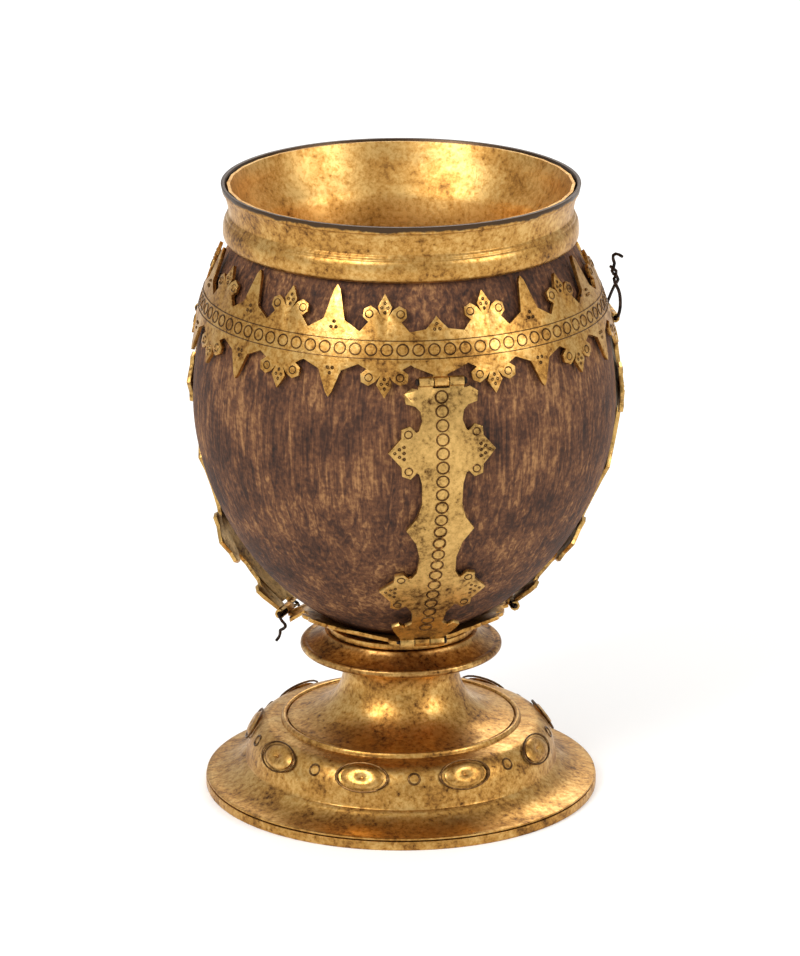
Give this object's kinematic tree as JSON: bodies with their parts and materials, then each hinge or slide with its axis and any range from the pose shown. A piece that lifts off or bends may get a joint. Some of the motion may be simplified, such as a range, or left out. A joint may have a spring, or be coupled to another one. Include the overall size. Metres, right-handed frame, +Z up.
{
  "type": "mounted coconut cup",
  "caption": "Coconut shell bowl in a gilt metal mount: domed foot, spool stem, scrolled band, flared lip and hinged straps that swing out to free the shell.",
  "frame": {"origin": "on the foot's axis at the height the cup stands on", "axes": "+Z up through the stem, -Y the front in the picture, +X the right"},
  "size_m": [0.1181, 0.1164, 0.17],
  "materials": {
    "gilt_copper": "worn mercury gilding on turned copper",
    "gilt_sheet": "worn gilding on pierced and punched sheet",
    "coconut": "scraped and waxed coconut shell",
    "dark_iron": "blackened wire and iron"
  },
  "bodies": {
    "root": {"foot_base_ring": "gilt_copper", "foot": "gilt_copper", "stem_spool": "gilt_copper", "stem_disc": "gilt_copper", "neck_ring": "gilt_copper", "calyx_plate": "gilt_sheet", "coconut_shell": "coconut", "strapwork_band": "gilt_sheet", "lip_collar": "gilt_copper", "mouth_sleeve": "gilt_copper", "stem_bolt": "dark_iron", "bowl_washer": "dark_iron", "foot_plate": "dark_iron", "foot_nut": "dark_iron", "front_upper_pin": "dark_iron", "right_upper_pin": "dark_iron", "left_upper_pin": "dark_iron", "left_lower_pin": "dark_iron"},
    "front_strap_body": {"front_strap": "gilt_sheet"},
    "right_strap_body": {"right_strap": "gilt_sheet"},
    "left_strap_body": {"left_strap": "gilt_sheet"},
    "front_pin_body": {"front_lower_pin": "dark_iron"},
    "right_pin_body": {"right_lower_pin": "dark_iron"}
  },
  "joints": [
    {"name": "front_strap_swing", "type": "hinge", "parent": "root", "child": "front_strap_body", "pos_m": [0.0104, -0.05579, 0.13102], "axis": [-0.9848, -0.1736, 0], "range_deg": [0, 90]},
    {"name": "right_strap_swing", "type": "hinge", "parent": "root", "child": "right_strap_body", "pos_m": [0.05658, 0.00988, 0.13102], "axis": [0.1736, -0.9848, 0], "range_deg": [0, 90]},
    {"name": "left_strap_swing", "type": "hinge", "parent": "root", "child": "left_strap_body", "pos_m": [-0.05266, 0.01937, 0.13102], "axis": [0.342, 0.9397, 0], "range_deg": [0, 90]},
    {"name": "front_pin_draw", "type": "slide", "parent": "root", "child": "front_pin_body", "axis": [0.9848, 0.1736, 0], "range_m": [0, 0.014]},
    {"name": "right_pin_draw", "type": "slide", "parent": "root", "child": "right_pin_body", "axis": [-0.1736, 0.9848, 0], "range_m": [0, 0.014]}
  ]
}
